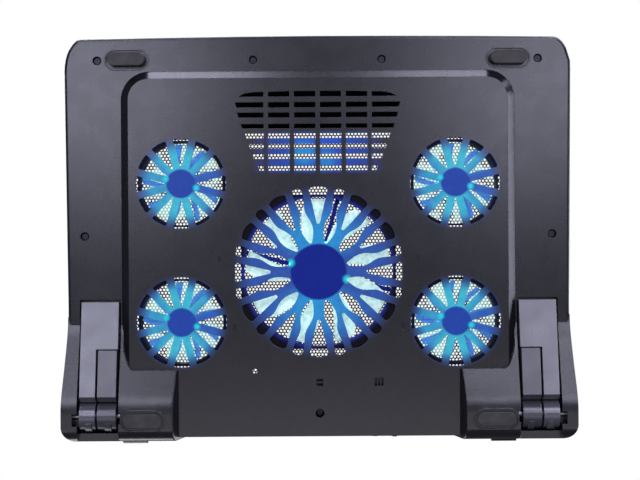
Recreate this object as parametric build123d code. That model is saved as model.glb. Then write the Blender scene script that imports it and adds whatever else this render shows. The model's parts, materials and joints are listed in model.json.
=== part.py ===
from build123d import *
import math
import os
from types import SimpleNamespace

# Laptop cooling pad with five fans, fold-out legs and flip-up stoppers, in millimetres.
# +X is the user's right, -Y is the user's side, +Z is up.
# Every piece is modelled in the casing frame, with the deck parallel to XY. All are then
# leaned by one angle, so that the four rubber feet stand on Z = 0.

# ---------------------------------------------------------------- driving sizes
wall = 2.2                  # moulded wall of the lower casing
side_wall = 2.6             # inset of the hollow from the casing outline
rear_wall = 2.4
deck_wall = 2.4

z_hump = 1.5                # underside of the two rear humps
z_panel = 14.5              # underside of the middle panel
z_floor = z_panel + wall    # inside face of the middle panel
z_border = 20.0             # underside of the border
z_split = 28.5              # joint between lower and upper casing
z_deck = 38.0               # top of the deck
z_roof = z_deck - deck_wall

y_front = -158.2            # user edge at the centre line
y_front_side = -156.4       # user edge near the corners
y_rear = 153.2              # rear edge between the humps
y_inner_rear = y_rear - rear_wall
y_hump_rear = 155.5         # rear face of the humps
x_side_front = 197.7        # half width at the user side
x_side_mid = 195.4          # half width at the waist
x_side_rear = 198.3         # half width at the ears
y_waist = 50
y_flare_end = 136
corner_front_x, corner_front_y = 14.0, 25.5   # elliptical corners at the user side
corner_rear = 5.0

panel_x_out, panel_x_in = 153.2, 147.2        # sloping step round the middle panel
panel_y_out, panel_y_in = -130.8, -124.8
panel_corner = 22.0
panel_overrun = 60          # extra panel length past the rear edge, cut off again

ear_y0 = 60.0               # where the rear swelling starts
hump_x_in = 112.5           # inner wall of each hump
hump_y0 = 101.3
hump_edge_r = 10            # round of the hump below its rear face
ear_corner_x, ear_corner_y = 12, 12.5         # elliptical rear corner of the ear

pocket_x0, pocket_x1 = 154.2, 186.0           # leg pocket
pocket_y0 = 46.7
pocket_roof = 26.5
leg_axis_y, leg_axis_z = 136.3, 12.5
barrel_r = 10.9
pin_r = 2.5
long_reach, short_reach = 88.0, 50.9          # leg length from the hinge axis
long_x = (172.2, 184.4)     # width of the arm of the long leg
short_x = (156.2, 170.6)
long_tip_y, short_tip_y = 48.3, 85.4

foot_w, foot_d = 29.0, 10.8                   # rubber feet, rounded at both ends
foot_front_x, foot_front_y = 148.7, -140.3
foot_rear_x, foot_rear_y = 135.6, 139.0
foot_seat = 1.7                               # gap left free round each foot
foot_lip = foot_seat + 1.1                    # outside of the lip round the seat

stand_front_y, stand_front_z = foot_front_y, 12.5   # where the front feet touch the desk
stand_rear_y, stand_rear_z = foot_rear_y, 0.0       # where the rear feet touch the desk
lean = math.atan2(stand_front_z - stand_rear_z, stand_rear_y - stand_front_y)
shift_y = 1.43              # centres the footprint on the origin after the lean

border_screws_at = [(-171.7, -139.6), (171.7, -139.6), (-50.1, -139.6), (50.1, -139.6),
                    (-182.0, -2.8), (182.0, -2.8)]
rear_screw_at = (0.4, 135.4)
border_well_depth, rear_well_depth = 4.0, 8.0

mesh_x, mesh_y0, mesh_y1 = 178.0, -88.2, 138.0      # opening in the deck

stop_x, stop_w, stop_y0, stop_y1 = 88.0, 52.0, -150.6, -126.0   # stopper wells
stop_floor = 31.6
stop_len = 48.6
stop_axis_y, stop_axis_z = -146.6, 34.6
stop_pin_r = 1.2

board_z = z_floor + 2.6     # underside of the control board
board_top = board_z + 1.5
ports = {"usb_port_in": 12.6, "usb_port_out": 29.4}             # name: x
button_x, button_z = 43.4, board_z + 5.6
dial_x, dial_y, dial_z, dial_r = 58.6, 146.6, board_z + 5.4, 8.5

# ---------------------------------------------------------------- fan sizes
fan_depth = 15.0
fan_top = z_floor + fan_depth
motor_z = z_floor + 12.9    # inner face of the motor plate and struts
flange = 3.2
blade_count = 9
strut_angle = 15            # first strut and first lamp, in degrees

# bore, hub and every name ending in _r are radii
big_fan = SimpleNamespace(
    size=120.0, bore=58.4, hub=20.0, screw_inset=7.5, corner_r=4.0, post_r=4.3,
    waist_gap=1.5, hole_r=2.15, tube_outer_r=5.0, tube_inner_r=3.4, shaft_r=1.5,
    stator_ring=1.8, screw_r=1.6, screw_head_r=3.4)
small_fan = SimpleNamespace(
    size=67.0, bore=32.2, hub=11.0, screw_inset=4.0, corner_r=3.0, post_r=3.0,
    waist_gap=1.4, hole_r=1.7, tube_outer_r=3.8, tube_inner_r=2.6, shaft_r=1.0,
    stator_ring=1.1, screw_r=1.2, screw_head_r=2.6)
fans = [                    # name, x, y, sizes; the large fan comes first
    ("center_fan", 0.0, 25.7, big_fan),
    ("front_left_fan", -106.4, -43.2, small_fan),
    ("front_right_fan", 106.4, -43.2, small_fan),
    ("rear_left_fan", -106.4, 64.4, small_fan),
    ("rear_right_fan", 106.4, 64.4, small_fan),
]


# ---------------------------------------------------------------- helpers
def box(x0, x1, y0, y1, z0, z1):
    return Pos((x0 + x1) / 2, (y0 + y1) / 2, (z0 + z1) / 2) * Box(x1 - x0, y1 - y0, z1 - z0)


def rod_x(x0, x1, y, z, r):
    return Pos((x0 + x1) / 2, y, z) * Rot(0, 90, 0) * Cylinder(r, x1 - x0)


def rod_y(x, y0, y1, z, r):
    return Pos(x, (y0 + y1) / 2, z) * Rot(90, 0, 0) * Cylinder(r, y1 - y0)


def rod_z(x, y, z0, z1, r):
    return Pos(x, y, (z0 + z1) / 2) * Cylinder(r, z1 - z0)


def slab(x, y, w, d, z0, z1, r):
    """Upright block centred on x, y with rounded corners in plan."""
    return Pos(x, y, z0) * extrude(RectangleRounded(w, d, r), z1 - z0)


def prism_x(edges, x0, x1):
    """Prism along X; the outline is drawn in (y, z)."""
    face = make_face(Plane.YZ.offset(x0) * edges)
    return extrude(face, x1 - x0, dir=(1, 0, 0))


def both(shape):
    return shape + mirror(shape, about=Plane.YZ)


def pair(pattern, right):
    """Right and left piece; the pattern holds a gap for the side."""
    return {pattern.format("right"): right,
            pattern.format("left"): mirror(right, about=Plane.YZ)}


def join(shapes):
    return sum(shapes[1:], shapes[0])


def ease(shape, edges, size, operation=fillet):
    # guards against edges that the kernel can't round or chamfer: they are left square
    try:
        return operation(edges, size)
    except Exception:
        return shape


def foot_slab(x, y, margin, z0, z1):
    """Plan of a rubber foot, grown by a margin."""
    return slab(x, y, foot_w + 2 * margin, foot_d + 2 * margin, z0, z1,
                foot_d / 2 + margin - 0.05)


def mesh_slab(grow, z0, z1, r):
    """Plan of the deck opening, with grow added to its width and depth."""
    return slab(0, (mesh_y0 + mesh_y1) / 2, 2 * mesh_x + grow, mesh_y1 - mesh_y0 + grow,
                z0, z1, r)


def cross_recess(x, y, half, z0, z1):
    return (box(x - half, x + half, y - 0.35, y + 0.35, z0, z1)
            + box(x - 0.35, x + 0.35, y - half, y + half, z0, z1))


def fan_screw_spots():
    """x, y and fan sizes of the two screws at opposite corners of every fan."""
    for _, x, y, fan in fans:
        corner = fan.size / 2 - fan.screw_inset
        for sign in (1, -1):
            yield x + sign * corner, y + sign * corner, fan


def to_desk(shape):
    turned = Rot(math.degrees(lean), 0, 0) * shape
    drop = stand_rear_y * math.sin(lean) + stand_rear_z * math.cos(lean)
    return Pos(0, shift_y, -drop) * turned


# ---------------------------------------------------------------- casing outline
def outline(inset=0.0):
    """Bowed user edge, nearly straight sides and a flare to the ears."""
    x_front, x_mid, x_rear = x_side_front - inset, x_side_mid - inset, x_side_rear - inset
    y_side, y_centre, y_back = y_front_side + inset, y_front + inset, y_rear - inset
    corner_x, corner_y = corner_front_x - inset, corner_front_y - inset
    bow_r = x_front * x_front / (2 * (y_side - y_centre))
    x_bow = x_front - corner_x
    y_bow = y_centre + x_bow * x_bow / (2 * bow_r)

    def side_x(y):
        return x_front + (y - y_side) / (y_waist - y_side) * (x_mid - x_front)

    y_end = y_side + corner_y
    x_end = side_x(y_end)
    bend_points = [(x_bow, y_bow)]
    for degrees in (24, 47, 69):
        cosine, sine = math.cos(math.radians(degrees)), math.sin(math.radians(degrees))
        bend_points.append((x_bow + corner_x * sine + (x_end - x_front) * (1 - cosine),
                            y_bow + (y_end - y_bow) * (1 - cosine)))
    bend_points.append((x_end, y_end))
    drift = (side_x(y_end + 10) - x_end) / 10
    x_stub = x_rear - 0.2

    front = ThreePointArc((-x_bow, y_bow), (0, y_centre), (x_bow, y_bow))
    bend = Spline(*bend_points, tangents=[(1, x_bow / bow_r), (drift, 1)])
    bend_left = Spline(*[(-x, y) for x, y in reversed(bend_points)],
                       tangents=[(drift, -1), (1, -x_bow / bow_r)])
    side = Line((x_end, y_end), (x_mid, y_waist))
    flare = Spline((x_mid, y_waist), (x_mid + 1.3, 96), (x_rear, y_flare_end),
                   tangents=[(-0.005, 1), (0, 1)])
    stub = Line((x_rear, y_flare_end), (x_stub, y_back))
    back = Line((x_stub, y_back), (-x_stub, y_back))
    stub_left = Line((-x_stub, y_back), (-x_rear, y_flare_end))
    flare_left = Spline((-x_rear, y_flare_end), (-x_mid - 1.3, 96), (-x_mid, y_waist),
                        tangents=[(0, -1), (-0.005, -1)])
    side_left = Line((-x_mid, y_waist), (-x_end, y_end))
    return make_face(front + bend + side + flare + stub + back
                     + stub_left + flare_left + side_left + bend_left)


def casing_face():
    face = outline()
    return fillet(face.vertices().sort_by(Axis.Y)[-2:], corner_rear)


# ---------------------------------------------------------------- lower casing, outside
def middle_panel():
    """Panel standing below the border, with a sloping step round it."""
    y_end = y_rear + panel_overrun
    panel = slab(0, (panel_y_out + y_end) / 2, 2 * panel_x_out, y_end - panel_y_out,
                 z_panel, z_border + 4, panel_corner)
    panel = chamfer(panel.faces().sort_by(Axis.Z)[0].edges(),
                    z_border - z_panel, panel_x_out - panel_x_in)
    return panel & box(-220, 220, -200, y_rear, 0, 40)


def rear_swell():
    """Right rear swelling: ear, strip beside the leg pocket and hump in one surface."""
    # profile in (y, z)
    y_round = y_hump_rear - hump_edge_r
    z_round = z_hump + hump_edge_r
    round_mid = (y_round + hump_edge_r * math.sin(math.radians(45)),
                 z_round - hump_edge_r * math.cos(math.radians(45)))
    profile = (
        Spline((ear_y0, z_border + 0.4), (86, 14.6), (hump_y0, 9.9), (119, 4.0), (134, z_hump),
               tangents=[(1, 0), (1, 0)])
        + Line((134, z_hump), (y_round, z_hump))
        + ThreePointArc((y_round, z_hump), round_mid, (y_hump_rear, z_round))
        + Line((y_hump_rear, z_round), (y_hump_rear, z_split))
        + Line((y_hump_rear, z_split), (ear_y0, z_split))
        + Line((ear_y0, z_split), (ear_y0, z_border + 0.4)))
    swell = prism_x(profile, 100.0, 210.0)

    # plan in (x, y)
    corner_x0, corner_y0 = x_side_rear - ear_corner_x, y_hump_rear - ear_corner_y
    corner_mid = (corner_x0 + ear_corner_x * math.cos(math.radians(46)),
                  corner_y0 + ear_corner_y * math.sin(math.radians(46)))
    plan = make_face(
        Line((100, hump_y0), (141.5, hump_y0))
        + Spline((141.5, hump_y0), (148.6, 95.0), (151.9, 82.0), tangents=[(1, 0), (0.06, -1)])
        + Line((151.9, 82.0), (152.1, 30))
        + Line((152.1, 30), (x_side_mid, 30))
        + Line((x_side_mid, 30), (x_side_mid, y_waist))
        + Spline((x_side_mid, y_waist), (x_side_mid + 1.3, 96), (x_side_rear, 134),
                 tangents=[(-0.005, 1), (0, 1)])
        + Line((x_side_rear, 134), (x_side_rear, corner_y0))
        + ThreePointArc((x_side_rear, corner_y0), corner_mid, (corner_x0, y_hump_rear))
        + Line((corner_x0, y_hump_rear), (100, y_hump_rear))
        + Line((100, y_hump_rear), (100, hump_y0)))
    swell = swell & extrude(Pos(0, 0, -5) * plan, 60)

    # drafted inner wall of the hump, drawn in (x, z)
    draft = make_face(Plane.XZ.offset(-200) * Polyline(
        (105.1, z_split), (112.6, z_hump), (113.3, -1.0), (230, -1.0), (230, z_split),
        close=True))
    swell = swell & extrude(draft, 400)
    inner_edges = [e for e in swell.edges() if e.center().X < 114.5 and e.center().Z < 9
                   and e.bounding_box().size.Y > 1.5]
    swell = ease(swell, inner_edges, 1.3)
    return swell + foot_slab(foot_rear_x, foot_rear_y, foot_lip, z_hump - 0.6, z_hump + 1.6)


def rear_tab():
    """Low tab standing out of the rear face, beside the leg."""
    y_root, y_face = y_hump_rear - 3, y_hump_rear + 1.9
    tab = prism_x(
        Line((y_root, 9.0), (y_root, z_split))
        + Line((y_root, z_split), (y_face, z_split))
        + Line((y_face, z_split), (y_face, 15.0))
        + ThreePointArc((y_face, 15.0), (y_hump_rear + 1.0, 11.0), (y_root, 9.0)),
        133.0, 151.8)
    return chamfer(tab.faces().sort_by(Axis.Y)[-1].edges().filter_by(Axis.Z), 1.7)


def shell_outside():
    shell = extrude(Pos(0, 0, z_border) * casing_face(), z_split - z_border)
    shell = ease(shell, shell.edges().group_by(Axis.Z)[0], 2.4)
    shell = shell + middle_panel()
    shell = shell + both(rear_swell())
    return shell + both(rear_tab())


# ---------------------------------------------------------------- lower casing, hollows
def hollow_out(shell):
    z_border_in = z_border + wall
    core = (extrude(Pos(0, 0, z_border_in) * outline(side_wall), 20)
            & box(-193, 193, -170, 44.4, 0, 60))
    core_rear = box(-151.4, 151.4, 40, y_inner_rear, z_border_in, 60)

    y_start = panel_y_in + 3
    panel_core = slab(0, (y_start + y_inner_rear) / 2, 2 * (panel_x_in - 0.6),
                      y_inner_rear - y_start, z_floor, 40, 14)
    panel_core = panel_core + box(-146.6, 146.6, 120, y_inner_rear, z_floor, 40)
    panel_core = panel_core + box(-151.4, 151.4, 100, y_inner_rear, z_floor + 3.0, 40)

    hump_core = prism_x(
        Polyline((hump_y0 + 2.6, 12.6), (119, 6.6), (134, z_hump + 2.4),
                 (y_hump_rear - 11, z_hump + 2.4), (y_hump_rear - 4.6, z_hump + 6.6),
                 (y_hump_rear - 2.6, z_hump + 12), (y_hump_rear - 2.6, 40),
                 (hump_y0 + 2.6, 40), close=True),
        hump_x_in + 2.8, 151.8)
    ear_core = (box(188.2, 193.2, 66, 126, z_border_in, 60)
                + box(188.2, 193.2, 108, 126, 11.0, 60))
    strip_core = box(188.2, 193.0, 40, 70, z_border_in, 60)
    return (shell - core - core_rear - panel_core
            - both(hump_core) - both(ear_core) - both(strip_core))


def cut_leg_pockets(shell):
    pocket = box(pocket_x0, pocket_x1, pocket_y0, 149.2, -5, pocket_roof)
    pocket = pocket + box(pocket_x0, pocket_x1, 149.0, 170, -5, 9.5)
    shell = shell - both(pocket)
    shell = shell - both(rod_x(151.9, 192.2, leg_axis_y, leg_axis_z, pin_r + 0.02))
    # notches at both ends of the hinge pin, outer one first
    shell = shell - both(box(pocket_x1 - 1, 189.8, 133.6, 143.2, -5, 13.2))
    return shell - both(box(pocket_x0 - 1.3, pocket_x0 + 1, 132.4, 141.4, -5, 13.0))


def cut_foot_seats(shell):
    """Recessed foot seats, and the lips of the front ones."""
    seats = [foot_slab(s * foot_front_x, foot_front_y, foot_seat, z_border - 2, z_border + 1.0)
             for s in (-1, 1)]
    seats += [foot_slab(s * foot_rear_x, foot_rear_y, foot_seat, z_hump - 4, z_hump + 1.0)
              for s in (-1, 1)]
    for s in (-1, 1):
        shell = shell + foot_slab(s * foot_front_x, foot_front_y, foot_lip,
                                  z_border - 0.6, z_border + 1.6)
    return shell - seats


# ---------------------------------------------------------------- openings in the panel
# trapezoid vent: y of the row, half width of the row, height of its openings
vent_rows = [(-112.4, 61.0, 4.2), (-103.9, 63.5, 4.0), (-96.0, 61.8, 3.9), (-87.4, 59.1, 3.4),
             (-79.9, 55.8, 3.7), (-71.8, 53.1, 3.7), (-64.0, 50.4, 3.8), (-54.9, 45.9, 3.9)]
# two rectangular windows: x, y, width, depth
windows = [(0.4, 111.5, 5.0, 5.4), (46.3, 111.3, 6.8, 6.2)]


def leaf_slot():
    """Long slot: pointed at the hub, swelling, pinched, then widening."""
    top = [(22.9, 0.9), (29.0, 3.6), (35.5, 4.75), (41.5, 3.6), (46.5, 2.2), (55.0, 3.0),
           (64.6, 3.9)]
    upper = Spline(*top)
    outer = ThreePointArc((64.6, 3.9), (66.6, 0), (64.6, -3.9))
    lower = Spline(*[(x, -y) for x, y in reversed(top)])
    tip = Line((22.9, -0.9), (22.9, 0.9))
    return make_face(upper + outer + lower + tip)


def wedge_slot():
    """Short slot between two leaves, widening outwards."""
    inner_low, outer_low, outer_mid = (37.3, -1.1), (64.3, -7.4), (66.3, 0)
    outer_high, inner_high = (64.3, 7.4), (37.3, 1.1)
    face = make_face(Line(inner_low, outer_low)
                     + ThreePointArc(outer_low, outer_mid, outer_high)
                     + Line(outer_high, inner_high)
                     + Line(inner_high, inner_low))
    face = fillet(face.vertices().sort_by(Axis.X)[-2:], 1.8)
    return fillet(face.vertices().sort_by(Axis.X)[:2], 0.9)


def sector_slot():
    """One of twelve slots of a small grille, between parallel-sided spokes."""
    half_spoke = 2.85
    r_inner, r_outer = 12.6, 35.0
    cosine, sine = math.cos(math.radians(15)), math.sin(math.radians(15))

    def beside_spoke(r, side):
        along = math.sqrt(r * r - half_spoke * half_spoke)
        return (along * cosine + half_spoke * sine,
                side * (along * sine - half_spoke * cosine))

    inner_low, outer_low = beside_spoke(r_inner, -1), beside_spoke(r_outer, -1)
    outer_high, inner_high = beside_spoke(r_outer, 1), beside_spoke(r_inner, 1)
    face = make_face(Line(inner_low, outer_low)
                     + ThreePointArc(outer_low, (r_outer, 0), outer_high)
                     + Line(outer_high, inner_high)
                     + Line(inner_high, inner_low))
    return fillet(face.vertices().sort_by(Axis.X)[-2:], 1.2)


def vent_faces():
    faces = []
    for row, (y, half, height) in enumerate(vent_rows):
        y0, y1 = y - height / 2, y + height / 2

        def arch(x):
            return y0 + 1.1 * (x / half) ** 2

        for x0, x1 in ((1.75, 18.35), (21.85, 38.45), (41.95, half)):
            outermost = x1 == half
            if row == 0 and outermost:
                # the first row has an arched user-side edge
                points = [(x0, y1), (x0, arch(x0)), (50, arch(50)), (56.5, arch(56) + 0.8),
                          (x1, y1 - 0.2), (x1, y1)]
            elif row == 0:
                points = [(x0, y1), (x0, arch(x0)), (x1, arch(x1)), (x1, y1)]
            elif outermost:
                points = [(x0, y1), (x0, y0), (x1 + 0.6, y0), (x1 - 0.6, y1)]
            else:
                points = [(x0, y1), (x0, y0), (x1, y0), (x1, y1)]
            faces.append(make_face(Polyline(*points, close=True)))
            faces.append(make_face(Polyline(*[(-px, py) for px, py in points], close=True)))
    return faces


def cut_openings(shell):
    faces = []
    leaf, wedge, sector = leaf_slot(), wedge_slot(), sector_slot()
    _, x, y, _ = fans[0]
    for k in range(12):
        faces.append(Pos(x, y) * Rot(0, 0, 15 + 30 * k) * leaf)
        faces.append(Pos(x, y) * Rot(0, 0, 30 * k) * wedge)
    for _, x, y, _ in fans[1:]:
        for k in range(12):
            faces.append(Pos(x, y) * Rot(0, 0, 30 * k) * sector)
    faces += vent_faces()
    for x, y, w, d in windows:
        faces.append(Pos(x, y) * Rectangle(w, d))
    faces.append(Pos(-49.8, 102.5) * Circle(1.9))
    return shell - [extrude(Pos(0, 0, z_panel - 1) * face, wall + 2) for face in faces]


def add_window_details(shell):
    # bar across the first window
    shell = shell + box(-2.1, 2.9, 110.9, 112.1, z_panel + 0.4, z_floor - 0.4)
    # closed caps behind the windows
    for x, y, w, d in windows:
        x0, x1, y0, y1 = x - w / 2, x + w / 2, y - d / 2, y + d / 2
        cap = box(x0 - 0.7, x1 + 0.7, y0 - 0.7, y1 + 0.7, z_floor - 0.3, z_floor + 5.6)
        shell = shell + (cap - box(x0, x1, y0, y1, z_floor - 1, z_floor + 4.6))
    # two bars across the second window
    for x in (45.1, 47.5):
        shell = shell + box(x - 0.45, x + 0.45, 108.0, 114.6, z_panel + 0.9, z_floor - 0.3)
    # blind marks beside the large grille
    for x, y in [(76.8, 16.1), (-76.8, 16.1), (65.3, 68.3), (-65.3, 68.3)]:
        shell = shell - slab(x, y, 1.9, 4.8, z_panel - 1, z_panel + 1.5, 0.8)
    return shell


# ---------------------------------------------------------------- lower casing, fixings
def add_screw_wells(shell):
    # x, y, outer skin, well depth, boss radius, well radius
    wells = [(x, y, z_border, border_well_depth, 4.6, 3.3) for x, y in border_screws_at]
    wells.append((*rear_screw_at, z_panel, rear_well_depth, 4.8, 3.35))
    for x, y, z_skin, depth, boss_r, well_r in wells:
        shell = shell + rod_z(x, y, z_skin + 1, z_split, boss_r)
        shell = (shell - rod_z(x, y, z_skin - 1, z_skin + depth, well_r)
                 - rod_z(x, y, z_skin, z_split + 1, 1.5))
    return shell


def fit_electronics(shell):
    """Board posts, and openings in the rear wall for ports, button and dial."""
    for x, y in [(-1.5, 124), (68, 124), (68, 145)]:
        shell = shell + rod_z(x, y, z_floor - 0.5, board_z, 2.4)
    y0, y1 = y_rear - 4, y_rear + 2
    for x in ports.values():
        shell = shell - box(x - 6.9, x + 6.9, y0, y1, board_top, board_z + 8.4)
    shell = shell - rod_y(button_x, y0, y1, button_z, 3.1)
    return shell - box(dial_x - 8.4, dial_x + 8.4, y_rear - 8, y1, dial_z - 2.0, dial_z + 2.0)


def bottom_shell():
    shell = hollow_out(shell_outside())
    shell = cut_foot_seats(cut_leg_pockets(shell))
    shell = add_window_details(cut_openings(shell))
    shell = fit_electronics(add_screw_wells(shell))
    for x, y, fan in fan_screw_spots():
        shell = shell - rod_z(x, y, z_panel + 0.5, z_floor + 1, fan.screw_r + 0.05)
    return shell


# ---------------------------------------------------------------- upper casing
def top_frame():
    top = extrude(Pos(0, 0, z_split) * casing_face(), z_deck - z_split)
    top = ease(top, top.edges().group_by(Axis.Z)[-1], 3.0)
    top = top - (extrude(Pos(0, 0, z_split - 1) * outline(side_wall), z_roof - z_split + 1)
                 & box(-220, 220, -200, y_inner_rear, 0, 60))
    top = top - mesh_slab(0, 30, 45, 9)
    # ledge that carries the metal deck
    ledge = mesh_slab(8, z_deck - 4.2, z_roof, 11)
    ledge = ledge - mesh_slab(-5, z_deck - 5, z_deck, 7)
    top = top + ledge
    top = top - mesh_slab(0, z_deck - 2.5, 45, 9)
    # screw posts; the rear one is tied to the rear wall by a rib
    pilot_r = 1.42
    for x, y in border_screws_at:
        top = top + rod_z(x, y, z_split, z_deck - 2, 4.2)
        top = top - rod_z(x, y, z_split - 1, z_split + 6.4, pilot_r)
    x, y = rear_screw_at
    top = (top + rod_z(x, y, z_split, z_roof, 4.2)
           + box(x - 3, x + 3, y, y_rear - 2.0, z_split + 2, z_roof))
    top = top - rod_z(x, y, z_split - 1, z_split + 6.4, pilot_r)
    # wells for the two flip-up stoppers
    y_mid, depth = (stop_y0 + stop_y1) / 2, stop_y1 - stop_y0
    for s in (-1, 1):
        x = s * stop_x
        top = top + slab(x, y_mid, stop_w + 4, depth + 4, stop_floor - 1.6, z_deck - 2, 3)
        top = top - slab(x, y_mid, stop_w, depth, stop_floor, z_deck + 5, 1.5)
        top = top - rod_x(x - stop_w / 2 - 1.2, x + stop_w / 2 + 1.2,
                          stop_axis_y, stop_axis_z, stop_pin_r + 0.02)
        # finger scoop at the free end of the stopper
        top = top - Pos(x, stop_y1, z_deck + 5.5) * Sphere(8.5)
    # shallow grooves across the palm side of the deck
    for x in (-120, -40, 40, 120):
        for y in (-104, -98):
            top = top - slab(x, y, 46, 2.4, z_deck - 0.7, z_deck + 2, 1.1)
    return top


def mesh_panel():
    """Metal deck, as its plain blank without perforation."""
    return mesh_slab(-0.6, z_roof, z_deck - 1.4, 8.7)


# ---------------------------------------------------------------- rubber feet
def rubber_foot(x, y, top):
    """Foot cut off by the desk plane, with its lower edge broken."""
    def desk_z(y):
        return stand_rear_z + (stand_rear_y - y) * math.tan(lean)

    above_desk = prism_x(Polyline((-260, desk_z(-260)), (260, desk_z(260)), (260, 80),
                                  (-260, 80), close=True), -260, 260)
    foot = foot_slab(x, y, 0, -12, top) & above_desk
    sole = foot.faces().sort_by(Axis.Z)[0]
    return ease(foot, sole.edges(), 0.5, chamfer)


# ---------------------------------------------------------------- fold-out legs
def leg_arm(x0, x1, reach, tip_y):
    """Straight arm with its barrel; the underside leans about 11 degrees."""
    y_low, z_low = 127.5, z_hump + 0.4
    y_tip = tip_y - 3
    z_tip = z_low + (y_low - y_tip) * math.tan(math.radians(11.3))
    arm = prism_x(Polyline((y_tip, z_tip), (y_low, z_low),
                           (134, leg_axis_z - barrel_r + 0.15), (leg_axis_y, leg_axis_z),
                           (leg_axis_y, leg_axis_z + barrel_r - 0.4), (y_tip, 25.4),
                           close=True), x0, x1)
    arm = arm & rod_x(x0 - 1, x1 + 1, leg_axis_y, leg_axis_z, reach)
    return arm + rod_x(x0, x1, leg_axis_y, leg_axis_z, barrel_r)


def finish_leg(arm, x0, x1):
    """Adds the stop tab, then cuts the pin bore and a V groove before the barrel."""
    middle = (x0 + x1) / 2
    tab = (rod_x(middle - 3.4, middle + 1.6, leg_axis_y, leg_axis_z, barrel_r + 1.3)
           & box(150, 190, 140.8, 160, -10, leg_axis_z - 2))
    bore = rod_x(150, 190, leg_axis_y, leg_axis_z, pin_r + 0.06)
    groove = prism_x(Polyline((120.6, -2.0), (120.6, 3.2), (124.2, 6.0), (124.5, 12.0),
                              (131.0, 12.0), (136.3, 3.0), (136.3, -2.0), close=True),
                     150, 190)
    groove = groove - rod_x(149, 191, leg_axis_y, leg_axis_z, barrel_r)
    return arm + tab - bore - groove


def arm_hollow(y0, z0, y1, z1, x0, x1):
    """Cut open upwards, with a floor that slopes from y0, z0 to y1, z1."""
    return prism_x(Polyline((y0, z0), (y1, z1), (y1, 40), (y0, 40), close=True), x0, x1)


def long_leg():
    """Outer leg; its wide head reaches inwards past the tip of the short leg."""
    head = (leg_arm(155.4, long_x[1], long_reach, long_tip_y)
            & box(150, 190, 40, 84.6, -10, 40))
    head = head - rod_x(150, long_x[0], leg_axis_y, leg_axis_z, short_reach + 0.8)
    leg = leg_arm(*long_x, long_reach, long_tip_y) + head
    leg = leg - (box(157.8, 182.2, 51.2, 82.4, 16, 40)
                 & arm_hollow(51.2, 21.2, 82.4, 14.8, 150, 190))
    leg = leg - arm_hollow(84.6, 14.4, 120, 7.4, 174.4, 182.2)
    return finish_leg(leg, *long_x)


def short_leg():
    leg = leg_arm(*short_x, short_reach, short_tip_y)
    leg = leg - arm_hollow(88.4, 13.6, 120, 7.4, 158.4, 168.4)
    return finish_leg(leg, *short_x)


# ---------------------------------------------------------------- laptop stoppers
def stopper():
    x0, x1 = stop_x - stop_len / 2, stop_x + stop_len / 2
    flap = box(x0, x1, stop_axis_y, stop_y1 - 1.0, stop_axis_z - 1.4, z_deck - 0.6)
    flap = fillet(flap.edges().filter_by(Axis.Z).sort_by(Axis.Y)[-2:], 4.0)
    flap = flap + rod_x(x0, x1, stop_axis_y, stop_axis_z, 2.9)
    flap = flap - rod_x(stop_x - 40, stop_x + 40, stop_axis_y, stop_axis_z, stop_pin_r + 0.06)
    for i in range(4):
        flap = flap - slab(stop_x, -136.4 + 1.9 * i, 30, 0.9, z_deck - 1.1, z_deck + 1, 0.42)
    return flap


def stopper_pad():
    return slab(stop_x, -133.6, 40, 13.2, stop_axis_z - 2.5, stop_axis_z - 1.4, 3.0)


def stopper_pin():
    return rod_x(stop_x - stop_w / 2 - 1.0, stop_x + stop_w / 2 + 1.0,
                 stop_axis_y, stop_axis_z, stop_pin_r)


# ---------------------------------------------------------------- fans, centred on the origin
def fan_frame(fan):
    block = slab(0, 0, fan.size, fan.size, z_floor, fan_top, fan.corner_r)
    rim = block - rod_z(0, 0, z_floor - 1, fan_top + 1, fan.bore)
    # a waist between the two flanges, with a full-height post at each corner
    waist = (slab(0, 0, fan.size + 4, fan.size + 4, z_floor + flange, fan_top - flange, 4)
             - rod_z(0, 0, z_floor, fan_top, fan.bore + fan.waist_gap))
    frame = rim - waist
    corner = fan.size / 2 - fan.screw_inset
    corners = [(sx * corner, sy * corner) for sx in (-1, 1) for sy in (-1, 1)]
    for x, y in corners:
        frame = frame + (rod_z(x, y, z_floor, fan_top, fan.post_r) & block)
    # motor plate, struts and bearing tube
    frame = frame + rod_z(0, 0, motor_z, fan_top, fan.hub)
    for k in range(4):
        strut = box(fan.hub - 2, fan.bore + 0.9, -1.6, 1.6, motor_z, fan_top)
        frame = frame + Rot(0, 0, strut_angle + 90 * k) * strut
    frame = (frame + rod_z(0, 0, z_floor + 4.6, z_floor + 13.2, fan.tube_outer_r)
             - rod_z(0, 0, z_floor + 4, z_floor + 13.4, fan.tube_inner_r))
    for x, y in corners:
        frame = frame - rod_z(x, y, z_floor - 1, fan_top + 1, fan.hole_r)
    return frame


def fan_bearing(fan):
    return (rod_z(0, 0, z_floor + 4.8, motor_z, fan.tube_inner_r - 0.02)
            - rod_z(0, 0, z_floor, z_floor + 14, fan.shaft_r + 0.05))


def fan_shaft(fan):
    return rod_z(0, 0, z_floor + 2.9, z_floor + 12.6, fan.shaft_r)


def fan_impeller(fan):
    cup = (rod_z(0, 0, z_floor + 1.6, z_floor + 12.0, fan.hub - 0.6)
           - rod_z(0, 0, z_floor + 2.9, z_floor + 13, fan.hub - 2.0))
    reach = fan.bore - 1.2
    pitched = Rot(52, 0, 0) * box(fan.hub - 1.4, reach + 2, -0.8, 0.8, -12, 12)
    blades = join([Rot(0, 0, -(105 + 360 / blade_count * k)) * Pos(0, 0, z_floor + 6.9) * pitched
                   for k in range(blade_count)])
    blades = blades & (rod_z(0, 0, z_floor + 1.9, z_floor + 10.9, reach)
                       - rod_z(0, 0, z_floor, z_floor + 13, fan.hub - 1.4))
    return cup + blades


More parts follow.
